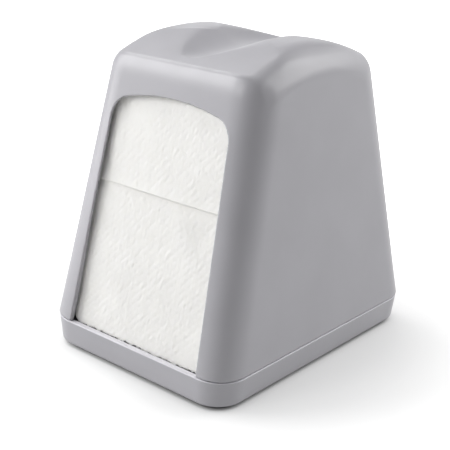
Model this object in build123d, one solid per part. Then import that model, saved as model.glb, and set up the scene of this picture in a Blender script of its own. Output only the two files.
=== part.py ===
"""Napkin dispenser: a tapered hood with a window at each end, on a shallow base tray.

Two spring-loaded pushers press napkin stacks outward from a central spine.
Origin at the footprint centre on the table, +Z up. The windows face -Y (front) and +Y (rear),
the plain sides face -X (left) and +X (right). Millimetres.
"""
from build123d import *
import math
import os

os.makedirs("parts", exist_ok=True)

# ---------------------------------------------------------------- driving dimensions
SIDES = (-1, 1)

# tapered hood: half sizes at the parting line and how fast the sides lean inward
SPLIT_Z = 14.1            # parting line between base and hood
HALF_X = 54.36
HALF_Y = 70.96
LEAN_X = 0.0736           # inward lean of the plain sides, mm per mm of height
LEAN_Y = 0.2313           # inward lean of the window sides
SLOPE_X = 1.003           # level distance through a plain side per mm of inset
SLOPE_Y = 1.027           # the same through a window side
CORNER_LOW = 14.0         # vertical corner radius at the parting line
CORNER_HIGH = 11.0        # vertical corner radius near the top
CORNER_HIGH_Z = 135.0
CORNER_INSET = 0.9        # loss of corner radius per mm of inset
WALL = 2.5                # hood wall
TOP_DROP = 3.1            # inner top surface below the outer one
SPLIT_GAP = 0.4           # visible gap between rim and hood

# grip top: two long lobes either side of a finger valley that runs front to back
LOBE_Z = 144.4            # height of the lobe crests
LOBE_FALL = 9.2           # fall of a lobe LOBE_FALL_Y in front of or behind the middle
LOBE_FALL_Y = 40.0
LOBE_POWER = 2.5
FLOOR_Z = 134.8           # level of the valley floor and of the front and rear edges
FLOOR_BLEND = 2.0         # softens the change where the lobes meet the floor level
VALLEY_MID = 13.8         # half width of the valley in the middle
VALLEY_END = 5.0          # half width of the valley at its ends
VALLEY_Y = 35.0           # where the valley runs out
VALLEY_POWER = 1.7
SHOULDER_X = 27.0         # the lobes start to fall towards the plain sides here
SHOULDER_END_X = 45.0
SHOULDER_FALL = 6.3       # how far they have fallen at SHOULDER_END_X
BLOCK_Z = 144.7           # level of the block that the lobes are cut from
BLOCK_FILLET = 9.6

# sampled grid of the grip surface
GRID_STEP = 4.0
GRID_X, GRID_COUNT_X = -64, 33
GRID_Y, GRID_COUNT_Y = -84, 43
GRID_HOLD = 56            # heights stay constant beyond this distance from the middle
GRID_DEPTH = 190          # depth of the solid below the surface

# windows
WIN_LOW_Z = 8.0           # the cutter starts below the hood
WIN_HALF_LOW = 38.75      # half width at the parting line
WIN_LEAN = 0.0522         # narrowing per mm of height
WIN_TOP_Z = 121.0         # crown of the arched top edge
WIN_SIDE_Z = 116.2        # where the arch meets the sides
WIN_CORNER = 6.5
WIN_CUT_Y = 34            # inner end of the cutter
WIN_CUT_HALF = 60         # half length of the cutter

# base tray
FOOT_H = 1.4              # the base stands this far off the table
BASE_HALF_X_LOW = 52.65   # half width at the bottom edge
BASE_HALF_Y_LOW = 70.5
BASE_CORNER_LOW = 13.4
BASE_WALL = 2.4
WELL_HALF_X = BASE_HALF_X_LOW - BASE_WALL
WELL_HALF_Y = BASE_HALF_Y_LOW - BASE_WALL
WELL_CORNER = 11.2
DECK_TOP = 12.4           # floor the napkins stand on
DECK_LOW = DECK_TOP - 2.2
THROUGH_DECK = (DECK_LOW - 1, DECK_TOP + 1)
UNDER_TOP = DECK_LOW + 0.3  # features below the deck run this far up into it
BASE_EDGE = 2.2           # rounding of the bottom edge
RIM_EDGE = 0.5
LIP_TOP = 17.0            # locating lips inside the hood
LIP_T = 1.6
LIP_CLEAR = 0.4
LIP_Y = 27.0              # centre of each lip
LIP_HALF = 17.0
LIP_RIB_PITCH = 14.0

# bottom plate
PLATE_T = 2.0
PLATE_TOP = FOOT_H + PLATE_T
PLATE_CLEAR = 0.4
PLATE_CUT_TOP = 6         # cutters through the plate end here

# paper, measured inward from the outer window face along Y
LEAD_S0, LEAD_S1 = 3.7, 4.8      # folded napkin in the window
STACK_S0, STACK_S1 = 4.95, 33.6  # rest of the stack
PAPER_HALF = 40.0
LEAD_HALF = PAPER_HALF - 3.0
PAPER_LOW, PAPER_HIGH = 12.6, 124.0
FLAP_Z = 79.5                    # lower edge of the upper flap
PAPER_CORNER = 6.0

# pushers, S values measured like the paper
PUSH_S0, PUSH_S1 = 33.8, 36.2
PUSH_HALF = 38.0
PUSH_LOW, PUSH_HIGH = 13.4, 112.0
PUSH_RIB_X = 33.0         # outer ribs; the inner ones stand at the springs
PUSH_TRAVEL = 26.0
SLOT_X = 28.0             # guide slots in the deck
SLOT_HALF = 2.6
SLOT_END_CLEAR = 0.6
STEM_HALF = 2.2
STEM_LEN = 11.0
STEM_STEP = 4.3           # the foot block starts this far inward of the stem's outer end
FOOT_BLOCK_HALF = 4.5
SHOE_HALF = 5.0

# springs behind the pushers
SPRING_X = 20.0
SPRING_Z = 50.0
SPRING_R = 4.7            # mean coil radius
SPRING_WIRE = 0.5         # wire radius
SPRING_TURNS = 8
SPRING_END_GAP = 0.15     # at both ends of every spring
SEAT_Y = 22.4             # pusher's spring seat, from the middle plane
SEAT_R = 6.6
SPIGOT_R = 3.6

# spine
SPINE_HALF_T = 2.0
SPINE_HALF_W = 35.0
SPINE_TOP = 118.0
SPINE_CORNER = 10
SPINE_FLANGE = 9.0
SPINE_FLANGE_T = 3.0
SPINE_SCREW_X = (-24.0, -8.0, 8.0, 24.0)
BOSS_R = 3.8              # screw bosses of the spine and the base

# latches, given for the right-hand side
LATCH_HALF_Y = 9.0
LATCH_X0, LATCH_X1 = 38.5, 46.2
LATCH_Z0, LATCH_Z1 = 5.4, 9.7
NOSE_X = 49.3
NOSE_HALF_Y = 3.6
NOSE_Z0, NOSE_Z1 = 6.4, 8.7
TAB_X0, TAB_X1 = 40.4, 44.6
TAB_HALF_Y = 6.0
LUG_X0, LUG_X1 = 47.0, 48.8
LUG_WEB_X = 52.3          # the web reaches into the hood wall
LUG_HALF_Y = 6.0
LUG_LOW, LUG_WEB_LOW, LUG_TOP = 4.6, 16.0, 26.0
LATCH_SPRING_R = 2.0
LATCH_SPRING_WIRE = 0.25
LATCH_SPRING_TURNS = 9
LATCH_SPRING_Z = 7.5
LATCH_WALL_X = 30.6       # face of the wall the spring bears on
LATCH_WALL_T = 1.6
LATCH_BORE_X = 43.4       # blind end of the spring bore in the latch

# screws (thread-forming, plain shanks)
SHANK_R = 1.4
SCREW_FIT = 0.05
SHANK_CLEAR = 0.2
HEAD_R = 2.8
HEAD_T = 1.8
HEAD_ROUND = 0.7
SPINE_SCREW_LEN = 12.0
PLATE_SCREW_LEN = 7.0
PLATE_SCREW_Z = FOOT_H + 1.25    # level the plate screw heads seat at
PLATE_SCREW_X, PLATE_SCREW_Y = 42.0, 36.0
PLATE_SCREWS = [(sx * PLATE_SCREW_X, sy * PLATE_SCREW_Y) for sy in (1, -1) for sx in (1, -1)]

# feet
FEET = {
    f"{end}_{hand}_foot": (sx * 41.0, sy * 57.5)
    for end, sy in (("front", -1), ("rear", 1))
    for hand, sx in (("left", -1), ("right", 1))
}
FOOT_R = 6.0
FOOT_STEM_R = 2.2


# ---------------------------------------------------------------- helpers
def around(middle, half):
    return middle - half, middle + half


def block(x_ends, y_ends, z_ends):
    """Box between pairs of coordinates, each pair in either order."""
    ends = (x_ends, y_ends, z_ends)
    return Pos(*[(a + b) / 2 for a, b in ends]) * Box(*[abs(b - a) for a, b in ends])


def post(x, y, z0, z1, radius):
    return Pos(x, y, (z0 + z1) / 2) * Cylinder(radius, z1 - z0)


def rod_y(x, z, y0, y1, radius):
    return Pos(x, (y0 + y1) / 2, z) * Rot(90, 0, 0) * Cylinder(radius, abs(y1 - y0))


def rod_x(y, z, x0, x1, radius):
    return Pos((x0 + x1) / 2, y, z) * Rot(0, 90, 0) * Cylinder(radius, abs(x1 - x0))


def prism_x(points, half):
    """Closed (y, z) outline run along X, half to each side of x = 0."""
    outline = make_face(Polyline(*points, close=True))
    return extrude(Plane.YZ * outline, amount=half, both=True)


def half_turn(shape):
    return Rot(0, 0, 180) * shape


def single_solid(shape):
    [solid] = shape.solids()
    return solid


def hood_half_x(z, inset=0.0):
    return HALF_X - LEAN_X * (z - SPLIT_Z) - inset * SLOPE_X


def hood_half_y(z, inset=0.0):
    return HALF_Y - LEAN_Y * (z - SPLIT_Z) - inset * SLOPE_Y


def face_y(z, depth):
    """Y of the front window face at height z, moved depth inward along Y."""
    return -hood_half_y(z) + depth


def slab(depth0, depth1, z0, z1, half):
    """A plate parallel to the front window face."""
    points = [
        (face_y(z0, depth0), z0),
        (face_y(z1, depth0), z1),
        (face_y(z1, depth1), z1),
        (face_y(z0, depth1), z0),
    ]
    return prism_x(points, half)


def coil(radius, wire, length, turns):
    """A helical spring along +Z from 0 to length, wire included."""
    run = length - 2 * wire
    path = Helix(pitch=run / turns, height=run, radius=radius)
    section = Plane(origin=path @ 0, z_dir=path % 0) * Circle(wire)
    return Pos(0, 0, wire) * sweep(section, path=path, is_frenet=True)


# outer end of the front pusher's stems
STEM_Y = face_y(PUSH_LOW, PUSH_S0) - 3.0


# ---------------------------------------------------------------- cover
def hood_section(z, inset):
    rise = max((z - SPLIT_Z) / (CORNER_HIGH_Z - SPLIT_Z), 0)
    corner = CORNER_LOW + (CORNER_HIGH - CORNER_LOW) * rise - CORNER_INSET * inset
    return Pos(0, 0, z) * RectangleRounded(
        2 * hood_half_x(z, inset), 2 * hood_half_y(z, inset), corner
    )


def top_height(x, y):
    """Height of the grip surface: lobes above the floor level, less the valley between them."""
    from_mid_x, from_mid_y = abs(x), abs(y)
    rise = LOBE_Z - FLOOR_Z - LOBE_FALL * (from_mid_y / LOBE_FALL_Y) ** LOBE_POWER
    past_shoulder = max(from_mid_x - SHOULDER_X, 0.0) / (SHOULDER_END_X - SHOULDER_X)
    rise -= SHOULDER_FALL * past_shoulder ** 2
    widening = max(1.0 - (from_mid_y / VALLEY_Y) ** 2, 0.0)
    half_width = VALLEY_END + (VALLEY_MID - VALLEY_END) * widening
    depth = 0.5 * (rise + math.sqrt(rise * rise + FLOOR_BLEND))
    valley = math.exp(-((from_mid_x / half_width) ** VALLEY_POWER))
    return FLOOR_Z + rise - depth * valley


def under_top(drop):
    """Everything below the grip surface, lowered by drop."""

    def hold(value):
        return min(max(value, -GRID_HOLD), GRID_HOLD)

    xs = [GRID_X + GRID_STEP * i for i in range(GRID_COUNT_X)]
    ys = [GRID_Y + GRID_STEP * j for j in range(GRID_COUNT_Y)]
    grid = [[Vector(x, y, top_height(hold(x), hold(y)) - drop) for y in ys] for x in xs]
    face = Face.make_surface_from_array_of_points(grid, tol=0.02, min_deg=3, max_deg=5)
    return Solid.extrude(face, Vector(0, 0, -GRID_DEPTH))


def hood_form(z0, inset, drop):
    form = loft([hood_section(z0, inset), hood_section(BLOCK_Z - inset, inset)], ruled=True)
    top = form.faces().sort_by(Axis.Z)[-1]
    form = fillet(top.edges(), BLOCK_FILLET - inset)
    return form & under_top(drop)


def window_cut(side):
    """The arched window outline, run along Y through one inclined wall."""
    low_half = WIN_HALF_LOW + WIN_LEAN * (SPLIT_Z - WIN_LOW_Z)
    high_half = WIN_HALF_LOW - WIN_LEAN * (WIN_SIDE_Z - SPLIT_Z)
    low_left, low_right = (-low_half, WIN_LOW_Z), (low_half, WIN_LOW_Z)
    high_left, high_right = (-high_half, WIN_SIDE_Z), (high_half, WIN_SIDE_Z)
    outline = Curve() + [
        Line(low_left, low_right),
        Line(low_right, high_right),
        ThreePointArc(high_right, (0, WIN_TOP_Z), high_left),
        Line(high_left, low_left),
    ]
    face = make_face(outline)
    # the outline is still flat in XY here, so its height runs along Y
    face = fillet(face.vertices().sort_by(Axis.Y)[-2:], WIN_CORNER)
    cutter = extrude(Plane.XZ * face, amount=WIN_CUT_HALF, both=True)
    return Pos(0, side * (WIN_CUT_Y + WIN_CUT_HALF), 0) * cutter


def make_cover():
    outer = hood_form(SPLIT_Z + SPLIT_GAP / 2, inset=0.0, drop=0.0)
    inner = hood_form(SPLIT_Z - 6.0, inset=WALL, drop=TOP_DROP)
    cover = outer - inner
    cover = cover - window_cut(-1) - window_cut(1)
    lug_y = around(0, LUG_HALF_Y)
    for s in SIDES:
        # latch lug: a tongue on each plain side that passes down through the deck
        lug = block((s * LUG_X0, s * LUG_X1), lug_y, (LUG_LOW, LUG_TOP))
        web = block((s * LUG_X0, s * LUG_WEB_X), lug_y, (LUG_WEB_LOW, LUG_TOP))
        eye = block(
            (s * (LUG_X0 - 1), s * (LUG_X1 + 1)),
            around(0, NOSE_HALF_Y + 0.5),
            (NOSE_Z0 - 0.3, NOSE_Z1 + 0.3),
        )
        cover = cover + (lug + web - eye)
    return single_solid(cover)


# ---------------------------------------------------------------- base tray
def base_shell():
    foot = RectangleRounded(2 * BASE_HALF_X_LOW, 2 * BASE_HALF_Y_LOW, BASE_CORNER_LOW)
    rim = RectangleRounded(2 * HALF_X, 2 * HALF_Y, CORNER_LOW)
    shell = loft([Pos(0, 0, FOOT_H) * foot, Pos(0, 0, SPLIT_Z - SPLIT_GAP / 2) * rim], ruled=True)
    shell = fillet(shell.faces().sort_by(Axis.Z)[0].edges(), BASE_EDGE)
    shell = fillet(shell.faces().sort_by(Axis.Z)[-1].edges(), RIM_EDGE)
    under = extrude(
        RectangleRounded(2 * WELL_HALF_X, 2 * WELL_HALF_Y, WELL_CORNER), amount=DECK_LOW
    )
    # the well above the deck is slightly wider
    upper_well = RectangleRounded(2 * WELL_HALF_X + 1.4, 2 * WELL_HALF_Y + 0.6, 11.4)
    above = extrude(Pos(0, 0, DECK_TOP) * upper_well, amount=10)
    return shell - under - above


def make_base():
    base = base_shell()
    lip_out = hood_half_x(LIP_TOP, WALL) - LIP_CLEAR
    lip_in = lip_out - LIP_T
    lip_low = DECK_LOW + 0.5
    latch_z = (PLATE_TOP + 0.3, UNDER_TOP)
    wall_back = LATCH_WALL_X - LATCH_WALL_T
    for s in SIDES:
        # locating lips along the plain sides, each with three ribs on its inner face
        for lip_y in (-LIP_Y, LIP_Y):
            base += block((s * lip_out, s * lip_in), around(lip_y, LIP_HALF), (lip_low, LIP_TOP))
            for rib_y in (lip_y - LIP_RIB_PITCH, lip_y, lip_y + LIP_RIB_PITCH):
                base += block(
                    (s * (lip_in - 2.6), s * (lip_in + 0.2)),
                    around(rib_y, 0.7),
                    (lip_low, LIP_TOP - 1.6),
                )
        # slot for the hood's latch lug
        base -= block(
            (s * (LUG_X0 - 0.5), s * (LUG_X1 + 0.5)), around(0, LUG_HALF_Y + 0.6), THROUGH_DECK
        )
        # latch guide ribs, spring wall and spring peg under the deck
        for t in SIDES:
            rib_y = (t * (LATCH_HALF_Y + 0.3), t * (LATCH_HALF_Y + 1.9))
            base += block((s * wall_back, s * 46.0), rib_y, latch_z)
        base += block((s * wall_back, s * LATCH_WALL_X), around(0, LATCH_HALF_Y + 1.0), latch_z)
        base += rod_x(
            0, LATCH_SPRING_Z, s * (LATCH_WALL_X - 0.4), s * (LATCH_WALL_X + 2.2), radius=1.4
        )
    # pusher guide slots, two for each pusher
    slot_far = -STEM_Y + PUSH_TRAVEL + SLOT_END_CLEAR
    slot_near = -STEM_Y - STEM_LEN - SLOT_END_CLEAR
    for s in SIDES:
        for x in (-SLOT_X, SLOT_X):
            base -= block(around(x, SLOT_HALF), (s * slot_near, s * slot_far), THROUGH_DECK)
    # bosses for the plate screws, holes for the spine screws
    for x, y in PLATE_SCREWS:
        base += post(x, y, PLATE_TOP + 0.05, UNDER_TOP, BOSS_R)
        base -= post(x, y, 0, DECK_LOW - 0.2, SHANK_R + SCREW_FIT)
    for x in SPINE_SCREW_X:
        base -= post(x, 0, *THROUGH_DECK, SHANK_R + SHANK_CLEAR)
    # stiffening ribs in line with the bosses
    for s in SIDES:
        base += block(around(0, 21.5), around(s * PLATE_SCREW_Y, 0.8), (5.0, UNDER_TOP))
    return single_solid(base)


# ---------------------------------------------------------------- bottom plate
def make_plate():
    outline = RectangleRounded(
        2 * (WELL_HALF_X - PLATE_CLEAR), 2 * (WELL_HALF_Y - PLATE_CLEAR), WELL_CORNER - PLATE_CLEAR
    )
    plate = extrude(Pos(0, 0, FOOT_H) * outline, amount=PLATE_T)
    through = (0, PLATE_CUT_TOP)
    for x, y in PLATE_SCREWS:
        plate -= post(x, y, 0, PLATE_SCREW_Z, HEAD_R + 0.3)
        plate -= post(x, y, *through, SHANK_R + SHANK_CLEAR)
    for x, y in FEET.values():
        plate -= post(x, y, 0, FOOT_H + 0.6, FOOT_R + 0.15)
        plate -= post(x, y, *through, FOOT_STEM_R + 0.1)
    # openings for the latch finger tabs
    for s in SIDES:
        plate -= block((s * 35.8, s * (TAB_X1 + 0.6)), around(0, TAB_HALF_Y + 1.0), through)
    # shallow grooves across the underside
    for y in (-24.0, -18.0, 18.0, 24.0):
        plate -= block(around(0, 18.0), around(y, 0.9), (0, FOOT_H + 0.7))
    return single_solid(plate)


# ---------------------------------------------------------------- spine
def make_spine():
    width = around(0, SPINE_HALF_W)
    spine = block(width, around(0, SPINE_HALF_T), (DECK_TOP, SPINE_TOP))
    spine = fillet(spine.edges().filter_by(Axis.Y).group_by(Axis.Z)[-1], SPINE_CORNER)
    flange = block(width, around(0, SPINE_FLANGE), (DECK_TOP, DECK_TOP + SPINE_FLANGE_T))
    flange = fillet(flange.edges().filter_by(Axis.Z), 4)
    spine += flange
    for x in SPINE_SCREW_X:
        spine += post(x, 0, DECK_TOP, 26.0, BOSS_R)
    # gussets between the bosses
    gusset = [(-8.0, 15.0), (8.0, 15.0), (1.5, 34.0), (-1.5, 34.0)]
    for x in (-16.0, 0.0, 16.0):
        spine += Pos(x, 0, 0) * prism_x(gusset, half=0.9)
    # two rounded openings in the upper part
    opening = RectangleRounded(24, 34, 5)
    for x in (-17.0, 17.0):
        spine -= Pos(x, 0, 86) * Rot(90, 0, 0) * extrude(opening, amount=5, both=True)
    for x in (-SPRING_X, SPRING_X):
        spine += rod_y(x, SPRING_Z, -7.5, 7.5, SPIGOT_R)
    for x in SPINE_SCREW_X:
        spine -= post(x, 0, DECK_TOP - 1, 22.8, SHANK_R + SCREW_FIT)
    return single_solid(spine)


# ---------------------------------------------------------------- front pusher
def make_pusher():
    push = slab(PUSH_S0, PUSH_S1, PUSH_LOW, PUSH_HIGH, PUSH_HALF)
    # stiffening ribs on the back, from the foot to near the top
    rib_mid, rib_top = 60.0, PUSH_HIGH - 6.0
    rib = [
        (face_y(PUSH_LOW, PUSH_S1 - 0.4), PUSH_LOW),
        (face_y(PUSH_LOW, PUSH_S1 + 3.4), PUSH_LOW),
        (face_y(rib_mid, PUSH_S1 + 2.2), rib_mid),
        (face_y(rib_top, PUSH_S1 - 0.4), rib_top),
    ]
    for x in (-PUSH_RIB_X, -SPRING_X, SPRING_X, PUSH_RIB_X):
        push += Pos(x, 0, 0) * prism_x(rib, half=0.8)
    # spring seats and spigots
    for x in (-SPRING_X, SPRING_X):
        push += rod_y(x, SPRING_Z, -SEAT_Y, face_y(SPRING_Z, PUSH_S0 + 1.0), SEAT_R)
        push += rod_y(x, SPRING_Z, -SEAT_Y - 1.0, -SEAT_Y + 6.0, SPIGOT_R)
    # trim anything that would stand in front of the pressing face
    push -= slab(-60.0, PUSH_S0, PUSH_LOW - 20, PUSH_HIGH + 20, 60)
    stem_y = (STEM_Y, STEM_Y + STEM_LEN)
    foot_y = (STEM_Y + STEM_STEP, STEM_Y + STEM_LEN)
    for x in (-SLOT_X, SLOT_X):
        # foot block above the deck, stem through the slot, neck joining them, shoe below the deck
        stem_x = around(x, STEM_HALF)
        push += block(around(x, FOOT_BLOCK_HALF), foot_y, (DECK_TOP + 0.25, PUSH_LOW + 4.0))
        push += block(stem_x, stem_y, (DECK_LOW - 1.0, DECK_TOP - 0.1))
        push += block(stem_x, foot_y, (DECK_TOP - 0.5, PUSH_LOW + 2.0))
        push += block(around(x, SHOE_HALF), stem_y, (DECK_LOW - 1.8, DECK_LOW - 0.4))
    return single_solid(push)


# ---------------------------------------------------------------- springs
def front_spring(x):
    length = SEAT_Y - SPINE_HALF_T - 2 * SPRING_END_GAP
    along_minus_y = Rot(90, 0, 0) * coil(SPRING_R, SPRING_WIRE, length, SPRING_TURNS)
    return Pos(x, -SPINE_HALF_T - SPRING_END_GAP, SPRING_Z) * along_minus_y


def right_latch_spring():
    length = LATCH_BORE_X - LATCH_WALL_X - 2 * SPRING_END_GAP
    along_x = Rot(0, 90, 0) * coil(
        LATCH_SPRING_R, LATCH_SPRING_WIRE, length, LATCH_SPRING_TURNS
    )
    return Pos(LATCH_WALL_X + SPRING_END_GAP, 0, LATCH_SPRING_Z) * along_x


# ---------------------------------------------------------------- paper
def front_stack():
    """Napkin stack with its two outward upright edges rounded."""
    stack = slab(STACK_S0, STACK_S1, PAPER_LOW, PAPER_HIGH, PAPER_HALF)
    outward_y = face_y((PAPER_LOW + PAPER_HIGH) / 2, 15)
    uprights = [
        edge
        for edge in stack.edges()
        if abs((edge @ 1).Z - (edge @ 0).Z) > 50 and (edge @ 0.5).Y < outward_y
    ]
    return fillet(uprights, PAPER_CORNER)


def front_lead():
    """Folded napkin: a lower layer, the flap in front of it and the layer behind the flap."""
    middle = (LEAD_S0 + LEAD_S1) / 2
    lower = slab(middle, LEAD_S1, PAPER_LOW, FLAP_Z + 8.0, LEAD_HALF)
    flap = slab(LEAD_S0, middle + 0.02, FLAP_Z, PAPER_HIGH, LEAD_HALF)
    upper = slab(middle, LEAD_S1, FLAP_Z + 7.0, PAPER_HIGH, LEAD_HALF)
    return single_solid(lower + flap + upper)


# ---------------------------------------------------------------- right latch
def make_latch():
    latch = block((LATCH_X0, LATCH_X1), around(0, LATCH_HALF_Y), (LATCH_Z0, LATCH_Z1))
    nose = [
        (LATCH_X1 - 1, NOSE_Z0),
        (NOSE_X, NOSE_Z0),
        (NOSE_X, NOSE_Z0 + 0.9),
        (NOSE_X - 1.5, NOSE_Z1),
        (LATCH_X1 - 1, NOSE_Z1),
    ]
    nose_face = Plane.XZ * make_face(Polyline(*nose, close=True))
    latch += extrude(nose_face, amount=NOSE_HALF_Y, both=True)
    # finger tab with three grooves
    latch += block((TAB_X0, TAB_X1), around(0, TAB_HALF_Y), (FOOT_H + 0.5, LATCH_Z0 + 0.2))
    for y in (-3.5, 0.0, 3.5):
        latch -= block((40.0, 45.0), around(y, 0.6), (FOOT_H, FOOT_H + 1.1))
    bore_r = LATCH_SPRING_R + LATCH_SPRING_WIRE + 0.15
    latch -= rod_x(0, LATCH_SPRING_Z, LATCH_X0 - 1, LATCH_BORE_X, bore_r)
    return single_solid(latch)


# ---------------------------------------------------------------- feet and screws
def make_foot():
    """Pad with a stem through the plate and a conical barb above it."""
    pad = Cylinder(FOOT_R, FOOT_H + 0.55, align=(Align.CENTER, Align.CENTER, Align.MIN))
    pad = fillet(pad.faces().sort_by(Axis.Z)[0].edges(), 0.5)
    stem = post(0, 0, 0.5, PLATE_TOP + 0.3, FOOT_STEM_R)
    return pad + stem + Pos(0, 0, PLATE_TOP + 0.75) * Cone(3.0, 1.8, 1.3)


def screw(length):
    """Pan-head screw, head below z = 0 and shank up to z = length."""
    head = Pos(0, 0, -HEAD_T / 2) * Cylinder(HEAD_R, HEAD_T)
    head = fillet(head.faces().sort_by(Axis.Z)[0].edges(), HEAD_ROUND)
    shank = post(0, 0, -0.2, length - 1.0, SHANK_R)
    tip = Pos(0, 0, length - 0.5) * Cone(SHANK_R, 0.5, 1.0)
    long, short = around(0, 1.6), around(0, 0.3)
    recess_z = (-HEAD_T - 1, -HEAD_T + 0.9)
    cross = block(long, short, recess_z) + block(short, long, recess_z)
    return head + shank + tip - cross


def screw_set(length, places):
    one_screw = screw(length)
    return Compound([Pos(*place) * one_screw for place in places])


# ---------------------------------------------------------------- all pieces
pusher = make_pusher()
stack = front_stack()
lead = front_lead()
latch = make_latch()
latch_spring = right_latch_spring()
foot = make_foot()

pieces = {
    "cover": make_cover(),
    "base_tray": make_base(),
    "bottom_plate": make_plate(),
    "spine": make_spine(),
    "front_pusher": pusher,
    "rear_pusher": half_turn(pusher),
    "front_napkin_stack": stack,
    "rear_napkin_stack": half_turn(stack),
    "front_lead_napkin": lead,
    "rear_lead_napkin": half_turn(lead),
    "right_latch": latch,
    "left_latch": half_turn(latch),
    "right_latch_spring": latch_spring,
    "left_latch_spring": half_turn(latch_spring),
    "spine_screws": screw_set(SPINE_SCREW_LEN, [(x, 0, DECK_LOW) for x in SPINE_SCREW_X]),
    "bottom_plate_screws": screw_set(
        PLATE_SCREW_LEN, [(x, y, PLATE_SCREW_Z) for x, y in PLATE_SCREWS]
    ),
}
for hand, x in (("left", -SPRING_X), ("right", SPRING_X)):
    pieces[f"front_spring_{hand}"] = front_spring(x)
    pieces[f"rear_spring_{hand}"] = half_turn(front_spring(-x))
for name, (x, y) in FEET.items():
    pieces[name] = Pos(x, y, 0) * foot

for name, shape in pieces.items():
    export_step(shape, f"parts/{name}.step")
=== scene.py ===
"""Table napkin dispenser: a hood with front and rear windows over a base tray.

+Z is up, the windows and napkins face -Y (front) and +Y (rear), and the plain sides with
the latches face -X and +X. Shapes are worked out in mm and turned into metres by MM.
"Set-back" is the distance along Y from the hood's leaning front face towards the middle.
"""
import math
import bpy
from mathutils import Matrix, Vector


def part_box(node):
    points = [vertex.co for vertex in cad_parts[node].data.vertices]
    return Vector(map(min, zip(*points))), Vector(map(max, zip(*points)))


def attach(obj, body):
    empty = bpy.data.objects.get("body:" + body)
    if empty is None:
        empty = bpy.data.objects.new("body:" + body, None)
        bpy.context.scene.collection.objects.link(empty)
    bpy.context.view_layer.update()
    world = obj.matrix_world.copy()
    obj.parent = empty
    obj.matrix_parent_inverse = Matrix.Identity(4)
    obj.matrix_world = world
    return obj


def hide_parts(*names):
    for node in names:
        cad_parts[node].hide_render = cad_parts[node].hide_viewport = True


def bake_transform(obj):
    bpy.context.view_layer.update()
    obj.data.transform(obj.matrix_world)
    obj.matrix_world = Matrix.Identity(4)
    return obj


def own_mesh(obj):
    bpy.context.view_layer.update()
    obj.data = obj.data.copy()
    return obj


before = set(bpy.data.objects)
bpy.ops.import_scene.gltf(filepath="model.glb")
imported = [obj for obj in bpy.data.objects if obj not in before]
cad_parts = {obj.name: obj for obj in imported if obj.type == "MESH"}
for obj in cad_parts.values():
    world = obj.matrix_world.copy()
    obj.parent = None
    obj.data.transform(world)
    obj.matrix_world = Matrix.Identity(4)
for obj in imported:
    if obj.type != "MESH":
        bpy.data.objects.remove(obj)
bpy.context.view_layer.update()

from types import SimpleNamespace

import bmesh
import bpy
import numpy as np
from mathutils import Matrix, Vector

MM = 0.001

# ------------------------------------------------------------------ hood dimensions (mm)
SPLIT_Z = 14.1                   # height where hood and base meet
SPLIT_GAP = 0.4
HALF_X, HALF_Y = 54.36, 70.96    # half sizes at the split
LEAN_X, LEAN_Y = 0.0736, 0.2313  # how far each side leans in per mm of height
WALL = 2.5
RIM_ROUND = 0.3                  # edges along the inside of the wall
EDGE_ROUND = 0.5                 # edges at the split and round the windows

WINDOW = SimpleNamespace(
    half_low=38.75, lean=0.0522,             # half width at the split, and its lean
    top_z=121.0, radius=112.0, corner=6.5,   # arched top and its corners
    lip=0.9, flare=1.5,                      # thin lip outside, widening behind it
    flare_z=30.0, flare_rise=50.0)           # height where the widening starts, and its rise

LUG = SimpleNamespace(
    x=(47.0, 48.8), web_x=52.2, half_y=6, z=(4.6, 26), web_z=16.0,  # plate, and web to the wall
    eye_half_y=4.1, eye_z=(6.1, 9.0), round=0.3, skin=0.6)          # opening, cover outside it

TOP = SimpleNamespace(
    limit=52,                                        # x and y are held inside this
    crest=145.976,                                   # height of the lobe crests
    fall=9.907, fall_y=40, fall_power=1.613,         # their fall to the front and rear
    shoulder_x=19.757, shoulder_end=45,              # their fall to the plain sides
    shoulder_fall=5.388, shoulder_power=5.572,
    corner_fall=0.046, corner_start=6.876, corner_x=29.229, corner_y=40.0,
    # the finger valley between the lobes
    depth=7.222, depth_power=0.874, length=36.054, rim=0.455,
    half=17.523, half_end=3.691, half_power=0.852,
    # the rounded block the lobes are cut from, on the front or rear and on the plain sides
    block_front=153.0, round_front=26.433, block_side=144.97, round_side=14.94,
    block_blend=24.0, slope=0.75,
    # rounding of the crease between block and lobes, and where the corners' share grows
    crease=0.65, crease_side=1.8, crease_corner=8.228,
    crease_x=41.456, crease_y=32.715, crease_wx=8.088, crease_wy=7.469,
    # vertical corners: radius at the split and at plan_high_z
    plan_low=14.8, plan_high=15.8, plan_high_z=135, plan_power=2.35)

HOOD_LOW, HOOD_HIGH = (-55.5, -72.0, 3.8), (55.5, 72.0, 146.0)
HOOD_SPACING = 0.65


# ------------------------------------------------------------------ distance fields
def intersect(a, b, radius):
    """Intersection of two distance fields with a rounded convex edge."""
    flat = np.minimum(np.maximum(a + radius, b + radius), 0)
    return flat + np.hypot(np.maximum(a + radius, 0), np.maximum(b + radius, 0)) - radius


def intersect_soft(a, b, radius, power):
    """As intersect, with a superellipse corner that starts gently and is tightest half way."""
    over_a, over_b = np.maximum(a + radius, 0), np.maximum(b + radius, 0)
    flat = np.minimum(np.maximum(a + radius, b + radius), 0)
    return flat + (over_a ** power + over_b ** power + 1e-12) ** (1 / power) - radius


def step01(t):
    t = np.clip(t, 0, 1)
    return t * t * (3 - 2 * t)


def box_field(x, y, z, low, high):
    mid = [(a + b) / 2 for a, b in zip(low, high)]
    half = [(b - a) / 2 for a, b in zip(low, high)]
    in_plan = np.maximum(np.abs(x - mid[0]) - half[0], np.abs(y - mid[1]) - half[1])
    return np.maximum(in_plan, np.abs(z - mid[2]) - half[2])


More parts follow.
